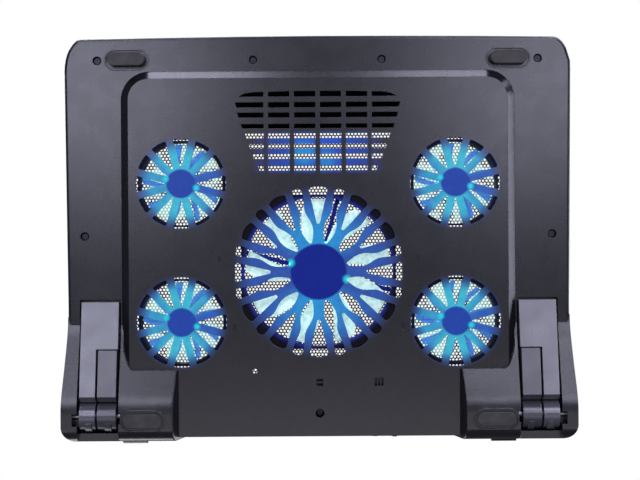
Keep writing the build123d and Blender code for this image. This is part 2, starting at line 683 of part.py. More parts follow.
def fan_stator(fan):
    """Ring with four arms, each followed by a quarter shoe."""
    z0, z1 = z_floor + 5.6, z_floor + 11.6
    r_inner, r_outer = fan.tube_outer_r + 0.05, fan.hub - 2.9
    stator = (rod_z(0, 0, z0, z1, r_inner + fan.stator_ring)
              - rod_z(0, 0, z_floor, z_floor + 13, r_inner))
    arm = box(r_inner + 0.6, r_outer - 1, -1.5, 1.5, z0, z1)
    shoe = ((rod_z(0, 0, z0, z1, r_outer) - rod_z(0, 0, z_floor, z_floor + 13, r_outer - 1.4))
            & (Rot(0, 0, 45) * box(0, 40, 0, 40, 0, 60)))
    for k in range(4):
        stator = stator + Rot(0, 0, 90 * k) * arm
        stator = stator + Rot(0, 0, 90 * k) * shoe
    return stator


def fan_leds(fan):
    """Four lamps under the struts, just outside the hub."""
    x, z_lamp = fan.hub + 2.4, z_floor + 12.0
    lamp = slab(x, 0, 3.0, 2.6, z_lamp, motor_z, 0.6)
    lamp = lamp + Pos(x, 0, z_lamp) * Sphere(0.85)
    return join([Rot(0, 0, strut_angle + 90 * k) * lamp for k in range(4)])


fan_parts = {"frame": fan_frame, "impeller": fan_impeller, "stator": fan_stator,
             "shaft": fan_shaft, "leds": fan_leds, "bearing": fan_bearing}


# ---------------------------------------------------------------- screws
def fan_screws():
    screws = []
    for x, y, fan in fan_screw_spots():
        screw = (rod_z(x, y, z_panel + 0.6, fan_top, fan.screw_r)
                 + rod_z(x, y, fan_top, fan_top + 1.6, fan.screw_head_r))
        screws.append(screw - cross_recess(x, y, 2, fan_top + 0.9, fan_top + 3))
    return Compound(screws)


def case_screws():
    spots = [(x, y, z_border + border_well_depth) for x, y in border_screws_at]
    spots.append((*rear_screw_at, z_panel + rear_well_depth))
    screws = []
    for x, y, base in spots:
        screw = rod_z(x, y, base - 1.9, base, 2.3) + rod_z(x, y, base, z_split + 6.0, 1.38)
        screws.append(screw - cross_recess(x, y, 1.6, base - 3, base - 0.9))
    return Compound(screws)


# ---------------------------------------------------------------- electronics
def control_board():
    board = box(-5.5, 72, 120, y_rear - 2.7, board_z, board_top)
    board = board - box(dial_x - 4.2, dial_x + 4.2, dial_y - 4.2, 160, board_z - 1, board_z + 2)
    # room for the rear case screw
    return board - rod_z(*rear_screw_at, 0, 60, 5.6)


def usb_port(x):
    port = box(x - 6.6, x + 6.6, y_rear - 14.2, y_rear - 0.4, board_top, board_top + 6.4)
    port = port - box(x - 5.9, x + 5.9, y_rear - 13.4, y_rear + 1,
                      board_top + 0.6, board_top + 5.8)
    return port + box(x - 5.5, x + 5.5, y_rear - 13.6, y_rear - 2.4,
                      board_top + 3.2, board_top + 5.0)


def switch_body():
    return box(button_x - 3.6, button_x + 3.6, y_rear - 13.6, y_rear - 7.2,
               board_top, board_z + 8.2)


def led_button():
    button = (rod_y(button_x, y_rear - 5.6, y_rear + 1.4, button_z, 2.9)
              + rod_y(button_x, y_rear - 5.6, y_rear - 3.2, button_z, 3.9))
    return fillet(button.edges().sort_by(Axis.Y)[-1:], 0.6)


def speed_pot():
    top = dial_z - 1.75
    return (box(dial_x - 4.0, dial_x + 4.0, dial_y - 4.0, dial_y + 4.0, z_floor + 0.2, top - 0.2)
            + rod_z(dial_x, dial_y, top - 0.3, dial_z + 2.2, 1.5))


def speed_dial():
    dial = (rod_z(dial_x, dial_y, dial_z - 1.7, dial_z + 1.7, dial_r)
            - rod_z(dial_x, dial_y, 0, 60, 1.56))
    notch_at = dial_r + 0.25
    for k in range(24):
        angle = math.radians(15 * k)
        dial = dial - rod_z(dial_x + notch_at * math.cos(angle),
                            dial_y + notch_at * math.sin(angle), 0, 60, 0.6)
    return dial


lead_r = 1.1
wire_z = z_floor + 1.3
plug_rise = 4               # height of the start of each lead above wire_z
# one lead per fan, lying on the panel: (x, y) from the board outwards
lead_routes = [
    [(12, 124), (12, 112), (12, 88.6)],
    [(24, 124), (24, 102.6), (60, 102.2), (92, 101.8)],
    [(34, 124), (34, 106.2), (66, 106.0), (66, 40), (66, 2), (92, -5.4)],
    [(18, 124), (18, 105), (-40, 98.5), (-64, 101.3), (-92, 101.8)],
    [(14.8, 124), (14.8, 101), (-40, 92), (-66.5, 90), (-66, 40), (-66, 2), (-92, -5.4)],
]


def lead(route):
    points = [(*route[0], wire_z + plug_rise)] + [(x, y, wire_z) for x, y in route[1:]]
    start = Vector(*points[1]) - Vector(*points[0])
    return sweep(Plane(origin=points[0], z_dir=start) * Circle(lead_r),
                 path=Polyline(*points), transition=Transition.ROUND)


def wiring_harness(board):
    plug = box(8, 54, 121.4, 127.6, board_top, board_z + 5.6)
    return join([plug] + [lead(route) for route in lead_routes]) - board


# ---------------------------------------------------------------- all pieces
pieces = {
    "bottom_shell": bottom_shell(),
    "top_frame": top_frame(),
    "mesh_panel": mesh_panel(),
    "fan_screws": fan_screws(),
    "case_screws": case_screws(),
    "control_board": control_board(),
    "switch_body": switch_body(),
    "led_button": led_button(),
    "speed_pot": speed_pot(),
    "speed_dial": speed_dial(),
}
pieces["wiring_harness"] = wiring_harness(pieces["control_board"])
for name, x in ports.items():
    pieces[name] = usb_port(x)
for pattern, right in [
    ("front_{}_foot", rubber_foot(foot_front_x, foot_front_y, z_border + 1.0)),
    ("rear_{}_foot", rubber_foot(foot_rear_x, foot_rear_y, z_hump + 1.0)),
    ("{}_long_leg", long_leg()),
    ("{}_short_leg", short_leg()),
    ("{}_leg_pin", rod_x(152.0, 192.0, leg_axis_y, leg_axis_z, pin_r)),
    ("{}_stopper", stopper()),
    ("{}_stopper_pad", stopper_pad()),
    ("{}_stopper_pin", stopper_pin()),
]:
    pieces.update(pair(pattern, right))
for name, x, y, fan in fans:
    for part, build in fan_parts.items():
        pieces[f"{name}_{part}"] = Pos(x, y) * build(fan)

os.makedirs("parts", exist_ok=True)
for name, shape in sorted(pieces.items()):
    placed = to_desk(shape)
    solids = placed.solids()
    if len(solids) > 1:
        placed = Compound(solids)
    export_step(placed, f"parts/{name}.step")
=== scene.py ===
"""Leaning fan casing with five lit fans under a perforated deck, on legs and rubber feet.

The casing frame is in millimetres: +X right, -Y front, +Z up through the deck, which is
parallel to XY. to_row() turns it into row metres, where the casing leans on its feet.
"""
import bpy
import bmesh
import json
import math
from functools import reduce
from mathutils import Matrix, Vector


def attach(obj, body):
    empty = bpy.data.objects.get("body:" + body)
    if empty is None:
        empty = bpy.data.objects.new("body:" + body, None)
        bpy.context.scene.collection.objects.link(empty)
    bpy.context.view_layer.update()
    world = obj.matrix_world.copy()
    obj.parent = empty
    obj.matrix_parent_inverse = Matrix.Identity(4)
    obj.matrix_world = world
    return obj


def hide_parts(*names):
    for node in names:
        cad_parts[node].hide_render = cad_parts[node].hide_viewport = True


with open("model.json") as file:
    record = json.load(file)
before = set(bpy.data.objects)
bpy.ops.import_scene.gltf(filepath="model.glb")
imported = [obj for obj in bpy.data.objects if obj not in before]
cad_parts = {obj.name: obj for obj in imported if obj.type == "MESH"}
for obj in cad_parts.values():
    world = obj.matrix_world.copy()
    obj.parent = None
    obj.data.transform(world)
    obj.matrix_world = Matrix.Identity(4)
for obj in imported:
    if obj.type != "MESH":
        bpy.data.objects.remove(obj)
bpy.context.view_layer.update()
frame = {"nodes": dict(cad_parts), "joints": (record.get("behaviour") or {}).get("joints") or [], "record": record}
nodes = frame["nodes"]

# ------------------------------------------------------------------ dimensions, mm
FAN_BOTTOM = 16.7
JOINT_HEIGHT = 7.0      # fan joint above the fan's bottom
FANS = {"center": (0.0, 25.7), "front_left": (-106.4, -43.2), "front_right": (106.4, -43.2),
        "rear_left": (-106.4, 64.4), "rear_right": (106.4, 64.4)}

# screw wells: x, y, z of the bottom
WELLS = [(-171.7, -139.6, 20.0), (171.7, -139.6, 20.0), (-50.1, -139.6, 20.0),
         (50.1, -139.6, 20.0), (-182.0, -2.8, 20.0), (182.0, -2.8, 20.0), (0.4, 135.4, 14.5)]

DECK_TOP = 36.6
DECK_THICKNESS = 1.0
DECK_UNDERSIDE = DECK_TOP - DECK_THICKNESS
DECK_GAP = 0.3          # between the sheet and its opening
DECK_HALF_X = 178.0 - DECK_GAP
DECK_FRONT = -88.2 + DECK_GAP
DECK_REAR = 138.0 - DECK_GAP
DECK_CORNER = 8.7
HOLE_MARGIN = 3.2       # from the sheet's edge to the field of holes
HOLE_OVERRUN = 1.2      # how far hole centres may pass the field's edge
HOLE_PITCH = 2.72
HOLE_RADIUS = 1.05      # to the corners of a hexagonal hole

# ------------------------------------------------------------------ casing frame
# The lean and the shift come from the centre fan's joint.
spin = next(joint for joint in frame["joints"] if joint["name"] == "center_fan_spin")
LEAN = math.atan2(-spin["axis"][1], spin["axis"][2])
ROTATION = Matrix.Rotation(LEAN, 4, "X")
joint_centre = ROTATION @ Vector((*FANS["center"], FAN_BOTTOM + JOINT_HEIGHT))
SHIFT = Vector(spin["pos_m"]) * 1000.0 - joint_centre
BODY = Matrix.Scale(0.001, 4) @ Matrix.Translation(SHIFT) @ ROTATION


def to_row(x, y, z):
    return BODY @ Vector((x, y, z))


def srgb(*channels):
    """Linear RGBA from 0-255 sRGB channels."""
    shares = [channel / 255.0 for channel in channels]
    return (*(v / 12.92 if v <= 0.04045 else ((v + 0.055) / 1.055) ** 2.4 for v in shares), 1.0)


# ------------------------------------------------------------------ node helpers
def feed(tree, value, socket):
    """Links a Value or a socket; sets anything else as a constant."""
    if isinstance(value, Value):
        value = value.socket
    if isinstance(value, bpy.types.NodeSocket):
        tree.links.new(value, socket)
    else:
        socket.default_value = value


def add_node(tree, kind, inputs, **settings):
    node = tree.nodes.new(kind)
    for key, setting in settings.items():
        setattr(node, key, setting)
    for key, value in inputs.items():
        feed(tree, value, node.inputs[key])
    return node


class Value:
    """A socket with arithmetic, so that a mask reads like a formula."""

    def __init__(self, tree, socket):
        self.tree, self.socket = tree, socket

    def math(self, operation, *others):
        inputs = dict(enumerate((self, *others)))
        node = add_node(self.tree, "ShaderNodeMath", inputs, operation=operation)
        return Value(self.tree, node.outputs[0])

    def __add__(self, other): return self.math("ADD", other)
    def __sub__(self, other): return self.math("SUBTRACT", other)
    def __mul__(self, other): return self.math("MULTIPLY", other)
    def __truediv__(self, other): return self.math("DIVIDE", other)
    def abs(self): return self.math("ABSOLUTE")
    def squared(self): return self.math("MULTIPLY", self)
    def min(self, other): return self.math("MINIMUM", other)
    def max(self, other): return self.math("MAXIMUM", other)

    def ramp(self, zero, one):
        """Smooth step that is 0 at `zero` and 1 at `one`, rising or falling."""
        ends = (zero, one, 0.0, 1.0) if zero <= one else (one, zero, 1.0, 0.0)
        node = add_node(self.tree, "ShaderNodeMapRange", dict(enumerate((self, *ends))),
                        interpolation_type="SMOOTHSTEP")
        return Value(self.tree, node.outputs[0])


def length(x, y):
    return (x.squared() + y.squared()).math("SQRT")


def union(masks):
    return reduce(Value.max, masks)


class Material:
    """A Principled material with textures laid out in the casing frame."""

    def __init__(self, name):
        self.data = bpy.data.materials.new(name)
        self.data.use_nodes = True
        self.tree = self.data.node_tree
        self.shader = self.tree.nodes["Principled BSDF"]
        self.mapped = None

    def set(self, name, value):
        feed(self.tree, value, self.shader.inputs[name])

    def node(self, kind, inputs, **settings):
        return add_node(self.tree, kind, inputs, **settings)

    def body(self):
        """Casing-frame coordinates in millimetres."""
        if self.mapped is None:
            coords = self.node("ShaderNodeTexCoord", {})
            self.mapped = self.node("ShaderNodeMapping", {
                "Location": Matrix.Rotation(-LEAN, 4, "X") @ (-SHIFT),
                "Rotation": (-LEAN, 0, 0), "Scale": (1000, 1000, 1000),
                "Vector": coords.outputs["Object"]}).outputs["Vector"]
        return self.mapped

    def xyz(self):
        split = self.node("ShaderNodeSeparateXYZ", {0: self.body()})
        return [Value(self.tree, output) for output in split.outputs]

    def noise(self, scale, detail=2.0, rough=0.5, stretch=None):
        where = self.body()
        if stretch:
            mapping = self.node("ShaderNodeMapping", {"Scale": stretch, "Vector": where})
            where = mapping.outputs["Vector"]
        node = self.node("ShaderNodeTexNoise", {
            "Scale": scale, "Detail": detail, "Roughness": rough, "Vector": where})
        return Value(self.tree, node.outputs["Fac"])

    def voronoi(self, scale, feature="F1"):
        node = self.node("ShaderNodeTexVoronoi", {"Scale": scale, "Vector": self.body()},
                         feature=feature)
        return Value(self.tree, node.outputs["Distance"])

    def mix(self, amount, first, second):
        return self.node("ShaderNodeMix", {"Factor": amount, 6: first, 7: second},
                         data_type="RGBA").outputs[2]

    def bump(self, height, strength, distance=0.0001, edge=0.0):
        """Surface relief; `edge` is the radius in metres of edges rounded by shading."""
        inputs = {"Strength": strength, "Distance": distance, "Height": height}
        if edge:
            soft = self.node("ShaderNodeBevel", {"Radius": edge}, samples=4)
            inputs["Normal"] = soft.outputs["Normal"]
        self.set("Normal", self.node("ShaderNodeBump", inputs).outputs["Normal"])

    def see_through(self, amount, tint=None):
        """Mixes the surface with a transparent shader."""
        clear = self.node("ShaderNodeBsdfTransparent", {0: tint} if tint else {})
        mixer = self.node("ShaderNodeMixShader", {
            0: amount, 1: self.shader.outputs[0], 2: clear.outputs[0]})
        feed(self.tree, mixer.outputs[0], self.tree.nodes["Material Output"].inputs["Surface"])


# ------------------------------------------------------------------ materials
def moulded(name, dark, light, rough=None, grain=1.0, specular=0.5, edge=0.0):
    """Textured ABS: fine spark-eroded grain, faint flow variation and handling marks.

    Returns the material and its colour. Without `rough` the roughness is left alone.
    """
    mat = Material(name)
    flow = mat.noise(scale=0.011, detail=3.0, rough=0.55)
    smear = mat.noise(scale=0.045, detail=4.0, rough=0.6, stretch=(1.0, 0.25, 1.0))
    skin = mat.mix((flow * 0.7 + smear * 0.3).ramp(zero=0.3, one=0.7), dark, light)
    mat.set("Base Color", skin)
    if rough is not None:
        # varies by 0.08 either way
        mat.set("Roughness", mat.noise(scale=0.06, detail=3.0) * 0.16 + (rough - 0.08))
    mat.set("Specular IOR Level", specular)
    fine = mat.noise(scale=3.2 * grain, rough=0.6) * 0.6
    mat.bump(fine + mat.voronoi(scale=2.1 * grain) * 0.4, strength=0.10, edge=edge)
    return mat, skin


# Lamp glow painted on a grille as emission. Radii in mm: hub, rim, lamp spot; `full` is the share of the rim
# radius inside which the glow is whole. Colours: spokes far from and near the cyan
# light, then the hub.
BIG_GLOW = dict(hub=21.3, rim=66.5, full=0.74, spot=4.6, blue=srgb(50, 84, 164),
                cyan=srgb(44, 142, 208), hub_blue=srgb(16, 34, 132))
SMALL_GLOW = dict(hub=10.9, rim=35.4, full=0.70, spot=3.6, blue=srgb(50, 92, 176),
                  cyan=srgb(62, 178, 206), hub_blue=srgb(34, 66, 160))
LAMP_ANGLES = (15.0, 198.0)
LAMP_CYAN = srgb(40, 205, 226)


def grille_glow(mat, x, y, soft, name):
    """Mask of the lit disc of one fan, and the light's three channels."""
    big = name == "center"
    look = BIG_GLOW if big else SMALL_GLOW
    hub, rim = look["hub"], look["rim"]
    fan_x, fan_y = FANS[name]
    off_x, off_y = x - fan_x, y - fan_y
    radius = length(off_x, off_y)
    # 1 straight in front of or behind the axis, 0 beside it
    lengthways = off_y.abs() / radius.max(0.5)
    inside = radius.ramp(zero=rim + 2.5, one=rim * look["full"])
    if big:
        cyan = lengthways.ramp(zero=0.40, one=0.98) * radius.ramp(zero=rim * 0.92, one=rim * 0.42)
    else:
        leftward = (off_x * -1.0 / radius.max(0.5)).ramp(zero=0.1, one=0.9) * 0.6
        cyan = lengthways.ramp(zero=0.25, one=0.95).max(leftward)
        cyan = cyan * radius.ramp(zero=rim, one=rim * 0.6)
    centre = radius.ramp(zero=hub + 1.2, one=hub - 0.6)

    def lamp_spot(degrees):
        """Hot spot where a lamp sits behind the hub's edge."""
        reach, angle = hub + 1.4, math.radians(degrees)
        away = length(x - (fan_x + reach * math.cos(angle)), y - (fan_y + reach * math.sin(angle)))
        return away.ramp(zero=look["spot"], one=0.6)

    colour = mat.mix(cyan, look["blue"], look["cyan"])
    colour = mat.mix(centre, colour, look["hub_blue"])
    colour = mat.mix(union(lamp_spot(angle) for angle in LAMP_ANGLES), colour, LAMP_CYAN)
    amount = (inside * soft).max(centre)
    split = mat.node("ShaderNodeSeparateColor", {0: colour})
    return inside, [Value(mat.tree, output) * amount for output in split.outputs]


def vent_glow(x, y, soft):
    """Vent bars in front of the lit part of the deck, and the cyan spots on them."""
    band = y.ramp(zero=-84.5, one=-79.0) * y.ramp(zero=-49.5, one=-54.5)
    side = x.abs()
    # dark ribs at x = 0 and 20.1 to either side
    ribs = (side - 0.0).abs().ramp(zero=1.2, one=2.6) * (side - 20.1).abs().ramp(zero=1.2, one=2.6)
    outer = side.ramp(zero=41.0, one=43.0) * side.ramp(zero=52.0, one=44.0) * 0.45
    bars = ribs * side.ramp(zero=40.5, one=37.0).max(outer)
    middle = side.ramp(zero=46.0, one=8.0) * 0.5 + 0.5
    left_spot = length(x + 11.0, y + 66.0).ramp(zero=15.0, one=2.0)
    right_spot = length(x - 6.0, y + 61.0).ramp(zero=12.0, one=2.0) * 0.7
    return band * bars * middle * soft, left_spot.max(right_spot)


def casing_material():
    mat, skin = moulded("casing_abs", dark=srgb(18, 18, 22), light=srgb(23, 23, 28), edge=0.0006)
    x, y, z = mat.xyz()
    soft = mat.noise(scale=0.22) * 0.5 + 0.75     # uneven brightness around 1
    discs, colours = zip(*(grille_glow(mat, x, y, soft, name) for name in FANS))
    red, green, blue = (reduce(Value.__add__, parts) for parts in zip(*colours))
    vent, spot = vent_glow(x, y, soft)
    # blue vent light, turning cyan in the spots
    light = mat.node("ShaderNodeCombineColor", {
        0: red + vent * 0.020,
        1: green + vent * (spot * 0.17 + 0.075),
        2: blue + vent * (spot * 0.14 + 0.46)})
    # only the moulded skin of the grilles and of the vent carries the glow
    low = z.ramp(zero=20.0, one=17.6)
    # painted glow: the lamps' light is painted onto the plastic as emission, so its surface colour sinks away to
    # dark blue
    lit = (union(discs).max(vent * 0.8) * low).min(1.0)
    colour = mat.mix(lit * 0.9, skin, srgb(10, 12, 30))
    # the bottoms of the screw wells never see the light
    wells = union(length(x - well_x, y - well_y).ramp(zero=3.9, one=3.5)
                  * z.ramp(zero=bottom + 0.25, one=bottom + 0.5)
                  for well_x, well_y, bottom in WELLS)
    mat.set("Base Color", mat.mix(wells, colour, srgb(2, 2, 3)))
    # wells are rougher; lit skin and wells lose nearly all their highlights
    mat.set("Roughness", wells * 0.5 + mat.noise(scale=0.06, detail=3.0) * 0.08 + 0.235)
    mat.set("Specular IOR Level", (lit * 0.42).max(wells * 0.48) * -1.0 + 0.5)
    mat.set("Emission Color", light.outputs[0])
    mat.set("Emission Strength", low)
    return mat


def deck_material():
    """Textured upper casing; its hollow inside stays in the dark."""
    mat, skin = moulded("deck_abs", dark=srgb(40, 40, 47), light=srgb(50, 50, 58), rough=0.42,
                        edge=0.0005)
    x, y, z = mat.xyz()
    inside = z.ramp(zero=35.8, one=35.65) * x.squared().ramp(zero=190.5 ** 2, one=190.0 ** 2)
    inside = inside * y.squared().ramp(zero=153.5 ** 2, one=153.0 ** 2)
    mat.set("Base Color", mat.mix(inside, skin, srgb(1, 1, 2)))
    mat.set("Specular IOR Level", inside * -0.47 + 0.5)
    return mat


def rubber_material(name):
    mat = Material(name)
    dust = mat.noise(scale=0.12, detail=4.0, rough=0.65).ramp(zero=0.35, one=0.75)
    mat.set("Base Color", mat.mix(dust, srgb(54, 53, 52), srgb(70, 69, 67)))
    mat.set("Roughness", mat.noise(scale=0.5) * 0.1 + 0.6)
    mat.set("Specular IOR Level", 0.25)
    mat.bump(mat.noise(scale=2.4, detail=3.0, rough=0.7), strength=0.4, distance=0.0002)
    return mat


def metal_material(name, base, rough):
    """Bare metal with fine lines across Y, darkened by a fifth between them."""
    mat = Material(name)
    lines = mat.noise(scale=1.4, stretch=(1, 12, 1))
    dark = (*(channel * 0.8 for channel in base[:3]), 1)
    mat.set("Base Color", mat.mix(lines, dark, base))
    mat.set("Metallic", 1.0)
    mat.set("Roughness", lines * 0.2 + (rough - 0.1))
    mat.bump(lines, strength=0.15)
    return mat


def frame_material():
    """Black fan frames; painted light: emission paints the lamps' blue on the wall of the bore and on the struts
    and motor seat.
    """
    mat, _ = moulded("fan_frame_pbt", dark=srgb(5, 5, 8), light=srgb(9, 9, 14), rough=0.5,
                     grain=1.4, specular=0.08)
    x, y, _ = mat.xyz()

    def wash(name):
        # bore radius in mm, then the brightness of its wall and of the seat
        bore, wall, seat = (58.4, 1.0, 0.75) if name == "center" else (32.2, 0.12, 0.45)
        fan_x, fan_y = FANS[name]
        radius = length(x - fan_x, y - fan_y)
        patches = mat.noise(scale=0.05).ramp(zero=0.38, one=0.62) * 0.8 + 0.2
        ring = radius.ramp(zero=bore + 3.2, one=bore + 0.2) * patches * wall
        # painted blue light on the struts and motor seat, seen through the blades
        return ring.max(radius.ramp(zero=bore - 1.0, one=bore - 6.0) * seat)

    mat.set("Emission Color", srgb(18, 34, 128))
    mat.set("Emission Strength", union(wash(name) for name in FANS))
    return mat


def coated_metal():
    mat = Material("deck_powder_coat")
    speck = mat.noise(scale=1.8, detail=3.0, rough=0.6)
    mat.set("Base Color", mat.mix(speck.ramp(zero=0.4, one=0.7), srgb(22, 23, 28),
                                  srgb(34, 35, 41)))
    mat.set("Metallic", 0.25)
    mat.set("Roughness", speck * 0.15 + 0.38)
    mat.bump(speck, strength=0.2)
    # the small fans stand close to the sheet and light its underside
    x, y, z = mat.xyz()
    patch = mat.noise(scale=0.10).ramp(zero=0.36, one=0.58)
    wash = union(length(x - fan_x, y - fan_y).ramp(zero=35.0, one=27.0) * patch
                 for name, (fan_x, fan_y) in FANS.items() if name != "center")
    mat.set("Emission Strength", wash * z.ramp(zero=35.72, one=35.64))
    mat.set("Emission Color", srgb(140, 206, 200))
    return mat


def blade_material(name, clearness, tint, glow):
    """Frosted translucent blade, lit by the lamps at its root."""
    mat = Material(name)
    haze = mat.noise(scale=0.35, detail=3.0, rough=0.55)
    deep = srgb(*(int(channel * 0.84) for channel in tint))
    colour = mat.mix(haze.ramp(zero=0.3, one=0.7), deep, srgb(*tint))
    mat.set("Base Color", colour)
    mat.set("Roughness", haze * 0.15 + 0.3)
    mat.set("Emission Color", colour)
    mat.set("Emission Strength", glow)
    mat.bump(mat.noise(scale=1.5), strength=0.12)
    mat.see_through(clearness, tint=srgb(225, 250, 250))
    return mat


def glow_material(name, tint, strength):
    mat = Material(name)
    bright = srgb(*(min(255, channel + 60) for channel in tint))
    mat.set("Emission Color", mat.mix(mat.noise(scale=0.9, detail=1.0), srgb(*tint), bright))
    mat.set("Base Color", srgb(*tint))
    mat.set("Emission Strength", strength)
    mat.set("Roughness", 0.2)
    return mat


def board_material():
    """Green solder mask over a web of tracks."""
    mat = Material("solder_mask")
    track = mat.voronoi(scale=0.45, feature="DISTANCE_TO_EDGE")
    mat.set("Base Color", mat.mix(track.ramp(zero=0.04, one=0.1), srgb(24, 118, 62),
                                  srgb(10, 74, 40)))
    mat.set("Roughness", mat.noise(scale=0.8) * 0.1 + 0.28)
    mat.bump(track.ramp(zero=0.03, one=0.12), strength=0.3)
    return mat


CASING = casing_material()
DECK = deck_material()
LEG, _ = moulded("leg_abs", dark=srgb(63, 63, 70), light=srgb(73, 73, 81), rough=0.30,
                 grain=1.2, specular=0.75, edge=0.0004)
LEG_SHORT, _ = moulded("short_leg_abs", dark=srgb(50, 50, 57), light=srgb(60, 60, 67),
                       rough=0.32, grain=1.2, specular=0.62, edge=0.0004)
BLACK, _ = moulded("black_abs", dark=srgb(20, 20, 24), light=srgb(28, 28, 33), rough=0.42,
                   grain=1.4)
FRAME_PLASTIC = frame_material()
RUBBER = rubber_material("foot_rubber")
STEEL = metal_material("plated_steel", base=srgb(150, 151, 158), rough=0.34)
SCREW = metal_material("black_zinc_screw", base=srgb(54, 55, 61), rough=0.42)
BRONZE = metal_material("sintered_bronze", base=srgb(150, 112, 60), rough=0.5)
CORE = metal_material("motor_core", base=srgb(140, 84, 52), rough=0.5)
COAT = coated_metal()
BLADE_BIG = blade_material("frosted_blade_big", clearness=0.08, tint=(208, 238, 224), glow=0.62)
BLADE_SMALL = blade_material("frosted_blade_small", clearness=0.35, tint=(62, 136, 222),
                             glow=0.45)
LAMP = glow_material("lamp_lens", tint=(40, 190, 255), strength=6.0)
BOARD = board_material()
CABLE = rubber_material("cable_sleeve")

BY_SLOT = {"casing": CASING, "leg_plastic": LEG, "rubber": RUBBER, "mesh": COAT,
           "fan_plastic": FRAME_PLASTIC, "fan_blade": BLADE_BIG, "led": LAMP, "steel": STEEL,
           "bronze": BRONZE, "copper_iron": CORE, "board": BOARD, "black_plastic": BLACK,
           "cable": CABLE}
# pieces that differ from the rest of their slot
BY_PIECE = {"top_frame": DECK, "left_stopper": DECK, "left_short_leg": LEG_SHORT,
            "right_stopper": DECK, "right_short_leg": LEG_SHORT, "case_screws": SCREW,
            "fan_screws": SCREW}


# ------------------------------------------------------------------ CAD pieces
def dress(name, material):
    slots = nodes[name].data.materials
    slots.clear()
    slots.append(material.data)


def bevel(name, width):
    """Rounds moulded edges by `width` mm with a modifier; the mesh itself stays."""
    edge = nodes[name].modifiers.new("edge", "BEVEL")
    edge.width = width / 1000.0
    edge.segments = 2
    edge.limit_method = "ANGLE"
    edge.angle_limit = math.radians(30)
    edge.use_clamp_overlap = True
    edge.harden_normals = False


slot_of = {part["node"]: part["material_slot"] for part in frame["record"]["subparts"]}
for name in nodes:
    dress(name, BY_SLOT[slot_of[name]])
for name, material in BY_PIECE.items():
    dress(name, material)

for side in ("left", "right"):
    bevel(side + "_long_leg", width=0.35)
    bevel(side + "_short_leg", width=0.35)
    bevel(side + "_stopper", width=0.3)
    for end in ("front", "rear"):
        bevel(f"{end}_{side}_foot", width=0.5)


def add_mesh(name, verts, faces, material, body, replaces=(), smooth=False):
    """Object from casing-frame points, riding on `body`."""
    mesh = bpy.data.meshes.new(name)
    mesh.from_pydata([tuple(to_row(*vert)) for vert in verts], [], faces)
    mesh.validate()
    mesh.update()
    piece = bpy.data.objects.new(name, mesh)
    bpy.context.scene.collection.objects.link(piece)
    mesh.materials.append(material.data)
    if smooth:
        for face in mesh.polygons:
            face.use_smooth = True
    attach(piece, body)
    if replaces:
        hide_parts(*replaces)
    return piece


# ------------------------------------------------------------------ perforated deck
DECK_MIDDLE_Y = (DECK_FRONT + DECK_REAR) / 2
DECK_HALF_Y = (DECK_REAR - DECK_FRONT) / 2


def hole_centres():
    """Staggered rows inside a rounded rectangle, with one row through the centre fan."""
    half_x, half_y = DECK_HALF_X - HOLE_MARGIN, DECK_HALF_Y - HOLE_MARGIN
    corner = DECK_CORNER - HOLE_MARGIN
    row_step = HOLE_PITCH * math.sqrt(3) / 2
    rows = int(2 * half_y / row_step) + 4
    columns = int(2 * half_x / HOLE_PITCH) + 4
    fan_y = FANS["center"][1]
    field_front = DECK_FRONT + HOLE_MARGIN
    first_row = fan_y - row_step * round((fan_y - field_front) / row_step + 1)
    for j in range(rows):
        y = first_row + j * row_step
        for i in range(-columns // 2 - 1, columns // 2 + 2):
            x = i * HOLE_PITCH + (j % 2) * HOLE_PITCH / 2
            past_x = abs(x) - (half_x + HOLE_OVERRUN - corner)
            past_y = abs(y - DECK_MIDDLE_Y) - (half_y + HOLE_OVERRUN - corner)
            if math.hypot(max(past_x, 0), max(past_y, 0)) <= corner:
                yield x, y


def perforated_deck():
    """Sheet of hexagonal cells that share their outer corners, each with a hole."""
    verts, shared, faces = [], {}, []
    cell_radius = HOLE_PITCH / math.sqrt(3)

    def shared_corner(x, y):
        key = (round(x * 50), round(y * 50))      # corners merge on a 0.02 mm grid
        if key not in shared:
            shared[key] = len(verts)
            verts.append((x, y, DECK_TOP))
        return shared[key]

    for x, y in hole_centres():
        outer, inner = [], []
        for k in range(6):
            angle = math.radians(30 + 60 * k)
            along, across = math.cos(angle), math.sin(angle)
            outer.append(shared_corner(x + cell_radius * along, y + cell_radius * across))
            inner.append(len(verts))
            verts.append((x + HOLE_RADIUS * along, y + HOLE_RADIUS * across, DECK_TOP))
        for k in range(6):
            n = (k + 1) % 6
            faces.append((outer[k], outer[n], inner[n], inner[k]))
    deck = add_mesh("perforated_deck", verts, faces, COAT, "root", ("mesh_panel",))
    sheet = deck.modifiers.new("sheet", "SOLIDIFY")
    sheet.thickness = DECK_THICKNESS / 1000.0
    sheet.offset = -1.0
    sheet.use_rim = True


def deck_rim():
    """Pressed rim that frames the holes."""
    # closed section: distance in from the sheet's edge, z
    section = [(0.0, DECK_UNDERSIDE), (0.0, DECK_TOP - 0.1), (0.25, DECK_TOP + 0.15),
               (3.6, DECK_TOP + 0.15), (4.4, DECK_TOP + 0.02), (4.4, DECK_UNDERSIDE)]
    # x side, y side, start angle of each corner
    corners = [(1, 1, 0), (-1, 1, 90), (-1, -1, 180), (1, -1, 270)]
    arc_steps = 8
    verts, faces = [], []
    for inset, z in section:
        radius = DECK_CORNER - inset
        for side_x, side_y, start in corners:
            for i in range(arc_steps + 1):
                angle = math.radians(start + 90 * i / arc_steps)
                verts.append((side_x * (DECK_HALF_X - DECK_CORNER) + radius * math.cos(angle),
                              DECK_MIDDLE_Y + side_y * (DECK_HALF_Y - DECK_CORNER)
                              + radius * math.sin(angle), z))
    count = len(corners) * (arc_steps + 1)
    for i in range(len(section)):
        this, after = i * count, (i + 1) % len(section) * count
        for k in range(count):
            n = (k + 1) % count
            faces.append((this + k, this + n, after + n, after + k))
    add_mesh("deck_rim", verts, faces, COAT, "root")


perforated_deck()
deck_rim()

